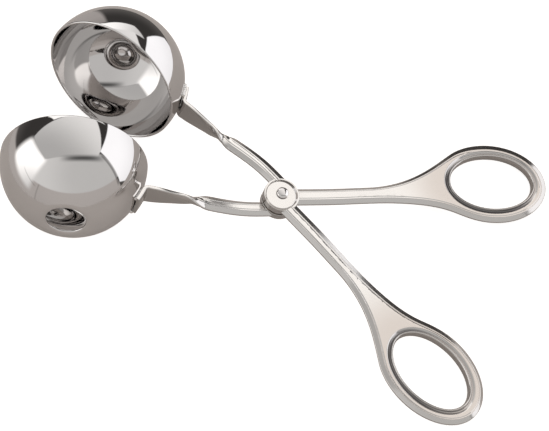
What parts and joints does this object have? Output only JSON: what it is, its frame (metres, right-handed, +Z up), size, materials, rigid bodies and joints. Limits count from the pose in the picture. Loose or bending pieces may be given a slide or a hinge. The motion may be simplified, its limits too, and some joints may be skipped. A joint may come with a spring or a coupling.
{
  "type": "meatball tongs",
  "caption": "Scissor tongs with a vented half-ball cup on the front of each arm, a riveted pivot and oval finger loops, for shaping and serving meatballs.",
  "frame": {"origin": "centre of the tongs' footprint, on the table they rest on", "axes": "+X from the cups towards the finger loops, +Y towards the upper arm's cup, +Z up"},
  "size_m": [0.1808, 0.1132, 0.0499],
  "materials": {
    "satin_steel": "satin polished stainless steel",
    "polished_steel": "mirror polished stainless steel"
  },
  "bodies": {
    "lower_half": {"lower_arm": "satin_steel", "lower_cup": "polished_steel", "pivot_rivet": "satin_steel", "pivot_washer": "satin_steel"},
    "upper_half": {"upper_arm": "satin_steel", "upper_cup": "polished_steel"}
  },
  "joints": [
    {"name": "pivot", "type": "hinge", "parent": "lower_half", "child": "upper_half", "pos_m": [0.00288, 0, 0.01485], "axis": [0.1462, 0, 0.9893], "range_deg": [-45, 27.3]}
  ]
}
